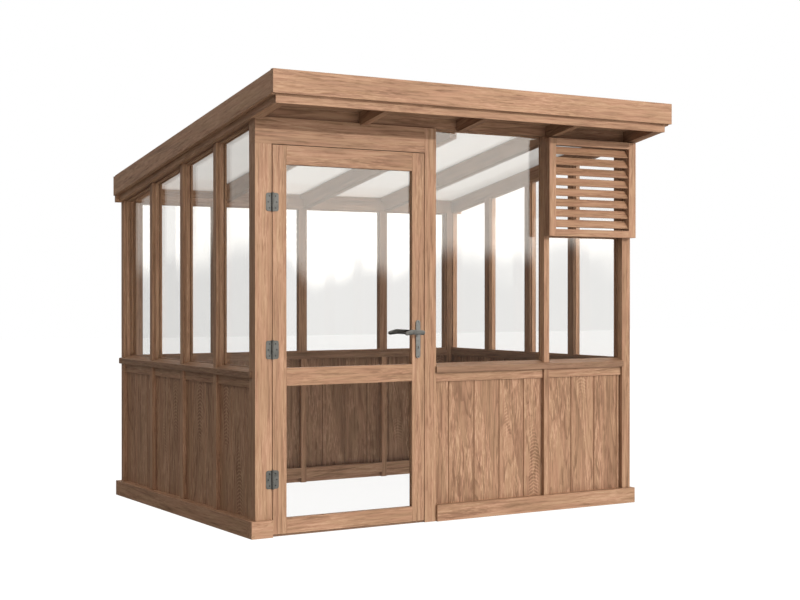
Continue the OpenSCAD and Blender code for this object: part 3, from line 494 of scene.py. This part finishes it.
# %% [markdown]
# ## Glass
# Clear float glass is seen by what it reflects. A ray that meets it squarely loses a little to each
# face, and a ray that grazes it is mostly turned back. Layer Weight gives how far the face turns away,
# and the fifth power of that is the usual short form of the law. The rest goes straight through.
# Two things here are a liberty, and not what clear glass does. Real panes would let most of the sun in,
# but the inside of this house is wanted in shade, so they pass only a small share of the lamp's rays.
# And the roof panes scatter part of the light, as a bloom of dew and dust would, so that they read as
# bright and milky from inside and hide what stands above them.

# %% The glass finish
EDGE_ON_POWER = 5.0
MIRROR = (0.95, 0.97, 0.96, 1)
BLOOM_PER_METRE = (3.0, 3.0, 3.0)
BLOOM_UNEVENNESS = 0.12
BLOOM_COLOUR = (0.84, 0.82, 0.80, 1)


def glass(name, square_on, tint, held_back, milk):
    """A pane that mirrors square_on of what meets it squarely, and stops held_back of the lamp's rays."""
    pane = Finish(bpy.data.materials.new(name))
    facing = pane.node("ShaderNodeLayerWeight", {}, {"Blend": 0.5}, out="Facing")
    turned_back = square_on + facing ** EDGE_ON_POWER * (1 - square_on)
    from_lamp = pane.node("ShaderNodeLightPath", out="Is Shadow Ray")
    stopped = turned_back + (1 - turned_back) * from_lamp * held_back
    through = pane.node("ShaderNodeBsdfTransparent", {}, {"Color": (*tint, 1)})
    mirror = pane.node("ShaderNodeBsdfPrincipled", {}, {
        "Base Color": MIRROR, "Metallic": 1.0, "Roughness": 0.02})
    clear = pane.node("ShaderNodeMixShader", {}, {0: stopped, 1: through, 2: mirror})
    if milk:
        place = pane.node("ShaderNodeTexCoord", out="Object")
        bloom = milk + (pane.pattern(place, BLOOM_PER_METRE, detail=3.0) - 0.5) * BLOOM_UNEVENNESS
        scatter = pane.node("ShaderNodeBsdfTranslucent", {}, {"Color": BLOOM_COLOUR})
        clear = pane.node("ShaderNodeMixShader", {}, {0: bloom, 1: clear, 2: scatter})
    pane.node("ShaderNodeOutputMaterial", {}, {"Surface": clear})
    return pane.owner


# %% Panes in the walls, the door and the roof
def dress(piece, finish):
    """Gives a piece one finish all over."""
    piece.data.materials.clear()
    piece.data.materials.append(finish)


GLASS = {
    "wall_glass": glass(
        "wall_glass", square_on=0.052, tint=(1.0, 0.998, 0.993), held_back=0.94, milk=0.0),
    "roof_glass": glass(
        "roof_glass", square_on=0.042, tint=(0.94, 0.935, 0.925), held_back=0.80, milk=0.55)}
glazed = [name for name in NODES if SLOT_OF[name] in GLASS]
for name in glazed:
    dress(NODES[name], GLASS[SLOT_OF[name]])
print("glazed nodes:", ", ".join(glazed))

# %% [markdown]
# ## Metal
# The furniture is cast and pressed metal under a satin pewter lacquer, which dulls the reflections and
# gathers a fine orange-peel texture. The hinges and levers are darker than the plates behind the levers,
# and the screws are nearly black. The parts that work inside the door are bright zinc plate.

# %% The metal finishes
CLOUD_ON_METAL = (38.0, 38.0, 38.0)
ORANGE_PEEL = (620.0, 620.0, 620.0)
PEEL_DEPTH = 0.0003


def lacquered(name, pale, dark, metallic, roughness):
    metal = Finish(bpy.data.materials.new(name))
    place = metal.node("ShaderNodeTexCoord", out="Object")
    cloud = metal.pattern(place, CLOUD_ON_METAL, detail=3.0)
    peel = metal.pattern(place, ORANGE_PEEL, detail=2.0)
    colour = metal.blend(metal.smooth_step(cloud, 0.3, 0.7), (*dark, 1), (*pale, 1))
    gloss = roughness + (cloud - 0.5) * 0.18 + (peel - 0.5) * 0.08
    bump = metal.node("ShaderNodeBump", {}, {
        "Strength": 0.25, "Distance": PEEL_DEPTH, "Height": peel})
    skin = metal.node("ShaderNodeBsdfPrincipled", {}, {
        "Base Color": colour, "Roughness": gloss, "Normal": bump, "Metallic": metallic})
    metal.node("ShaderNodeOutputMaterial", {}, {"Surface": skin})
    return metal.owner


# %% Metal on hinges, levers, plates, screws and the lock
PEWTER = lacquered(
    "pewter", pale=(0.140, 0.139, 0.131), dark=(0.094, 0.094, 0.087), metallic=0.40, roughness=0.46)
DULL_PEWTER = lacquered(
    "dull_pewter", pale=(0.082, 0.081, 0.074), dark=(0.050, 0.050, 0.045), metallic=0.40, roughness=0.48)
BLACKENED = lacquered(
    "blackened_screws", pale=(0.020, 0.020, 0.019), dark=(0.010, 0.010, 0.010), metallic=0.60,
    roughness=0.38)
ZINC = lacquered(
    "steel", pale=(0.62, 0.62, 0.61), dark=(0.48, 0.48, 0.47), metallic=0.95, roughness=0.34)
METAL = {"pewter": PEWTER, "steel": ZINC}
OWN_METAL = {
    "jamb_screws": BLACKENED, "door_screws": BLACKENED, "hinge_fixed_leaves": DULL_PEWTER,
    "hinge_moving_leaves": DULL_PEWTER, "hinge_pins": DULL_PEWTER, "lever_handles": DULL_PEWTER}
fittings = [name for name in NODES if SLOT_OF[name] in METAL]
for name in fittings:
    dress(NODES[name], OWN_METAL.get(name, METAL[SLOT_OF[name]]))
print("metal nodes:", len(fittings), "of them with a metal of their own:", len(OWN_METAL))

# %% [markdown]
# ## The floor and the light
# The building stands on a plain pale floor under one low, warm key lamp from the front right, as on a
# clear morning. A dome of soft light fills the shadows: brighter from the front than from the left, so
# that the near end wall falls into shade and shows its depth. Reflections see a plain pale sky over a
# darker ground, which is what gives glass its veil in the upper panes and leaves the lower ones clear.

# %% The floor
FLOOR_SPAN = 60
# The floor is seen as nearly white, so most of it is its own glow
FLOOR_GLOW = 1.12
GLOW_SHARE = 0.90
bpy.ops.mesh.primitive_plane_add(size=FLOOR_SPAN)
floor = bpy.context.object
floor.name = "floor"
floor.visible_glossy = False
floor.visible_diffuse = False
pale_floor = Finish(bpy.data.materials.new("pale_floor"))
lit = pale_floor.node("ShaderNodeBsdfDiffuse", {}, {"Color": (0.9, 0.9, 0.9, 1)})
glow = pale_floor.node("ShaderNodeEmission", {}, {"Color": (1, 1, 1, 1), "Strength": FLOOR_GLOW})
floor_mix = pale_floor.node("ShaderNodeMixShader", {}, {0: GLOW_SHARE, 1: lit, 2: glow})
pale_floor.node("ShaderNodeOutputMaterial", {}, {"Surface": floor_mix})
floor.data.materials.append(pale_floor.owner)
print("floor:", FLOOR_SPAN, "m wide")

# %% The key lamp
TO_SUN = Vector((0.40, -1.0, 0.343))
sun = bpy.data.lights.new("key", "SUN")
sun.energy = 2.0
sun.angle = math.radians(1.5)
sun.color = (1.0, 0.975, 0.94)
sun_lamp = bpy.data.objects.new("key", sun)
sun_lamp.rotation_euler = TO_SUN.to_track_quat("Z", "Y").to_euler()
bpy.context.scene.collection.objects.link(sun_lamp)
print("key lamp:", round(math.degrees(math.asin(TO_SUN.normalized().z))), "degrees above the ground")

# %% The dome that fills the shadows
FRONT_RIGHT = tuple(Vector((0.45, -0.85, 0.25)).normalized())
FILL_BEHIND = 0.13
FILL_IN_FRONT = 0.80
GROUND_BOUNCE = 1.2
OVERHEAD = 0.50
world = bpy.data.worlds.new("studio")
bpy.context.scene.world = world
dome = Finish(world)
way = dome.node("ShaderNodeTexCoord", out="Generated")
height_of_way = dome.node("ShaderNodeSeparateXYZ", {}, {"Vector": way}, out="Z")
from_front = dome.vectors("DOT_PRODUCT", way, FRONT_RIGHT, out="Value")
# The sunlit ground in front of the house throws light up under the eaves
from_ground = dome.smooth_step(height_of_way, -0.6, -0.1, GROUND_BOUNCE, 0.0)
bounce = from_ground * dome.smooth_step(from_front, -0.3, 0.6)
overhead = dome.smooth_step(height_of_way, 0.30, 0.75, 0.0, OVERHEAD)
fill = dome.smooth_step(from_front, -0.6, 1.0, FILL_BEHIND, FILL_IN_FRONT) + bounce + overhead

# %% What glass and metal mirror: dark ground, a soft and uneven skyline, and a bright sky in front
GROUND_LEVEL = 0.12
SKY_LEVEL = 3.3
SKY_BEHIND = 0.25
SKYLINE_PER_TURN = (16.0, 16.0, 5.0)
SKYLINE_MIDDLE = 0.42
SKYLINE_HEIGHT = 0.09
SKYLINE_SOFTNESS = 0.022
WHITE = (1, 1, 1, 1)
# The mirrored sky is faintly warm
MIRRORED_TINT = (1.0, 0.950, 0.895, 1)
toward_front = dome.smooth_step(from_front, -0.3, 0.4, SKY_BEHIND, 1.0)
skyline = dome.pattern(way, SKYLINE_PER_TURN, detail=3.0)
above_skyline = height_of_way - (skyline - SKYLINE_MIDDLE) * SKYLINE_HEIGHT
sky = GROUND_LEVEL + dome.smooth_step(
    above_skyline, 0.0, SKYLINE_SOFTNESS, 0.0, SKY_LEVEL) * toward_front
ray = dome.node("ShaderNodeLightPath", out="Is Camera Ray")
shiny = dome.node("ShaderNodeLightPath", out="Is Glossy Ray")
brightness = fill + (sky - fill) * shiny
brightness = brightness + (1.0 - brightness) * ray
tint = dome.blend(shiny, WHITE, MIRRORED_TINT)
backdrop = dome.node("ShaderNodeBackground", {}, {"Color": tint, "Strength": brightness})
dome.node("ShaderNodeOutputWorld", {}, {"Surface": backdrop})
print("dome:", len(dome.tree.nodes), "nodes")

# %% [markdown]
# ## The camera
# It stands 1.2 m above the ground in front of the left end, and the end wall runs away from it steeply.
# It looks level but for a quarter of a degree, so the verticals stay upright, through a fairly long lens.

# %% The camera
CAMERA_PLACE = (-4.387, -7.353, 1.233)
LOOKS_DOWN = 0.276
TURNED_RIGHT = 31.4987
camera = bpy.data.cameras.new("camera")
camera.lens = 65.12
camera.sensor_width = 36.0
camera.clip_end = 200.0
viewer = bpy.data.objects.new("camera", camera)
viewer.location = CAMERA_PLACE
viewer.rotation_euler = (math.radians(90 - LOOKS_DOWN), 0, math.radians(-TURNED_RIGHT))
bpy.context.scene.collection.objects.link(viewer)
bpy.context.scene.camera = viewer
bpy.context.scene.view_settings.view_transform = "Standard"
print("camera:", round(camera.lens), "mm lens at", CAMERA_PLACE)
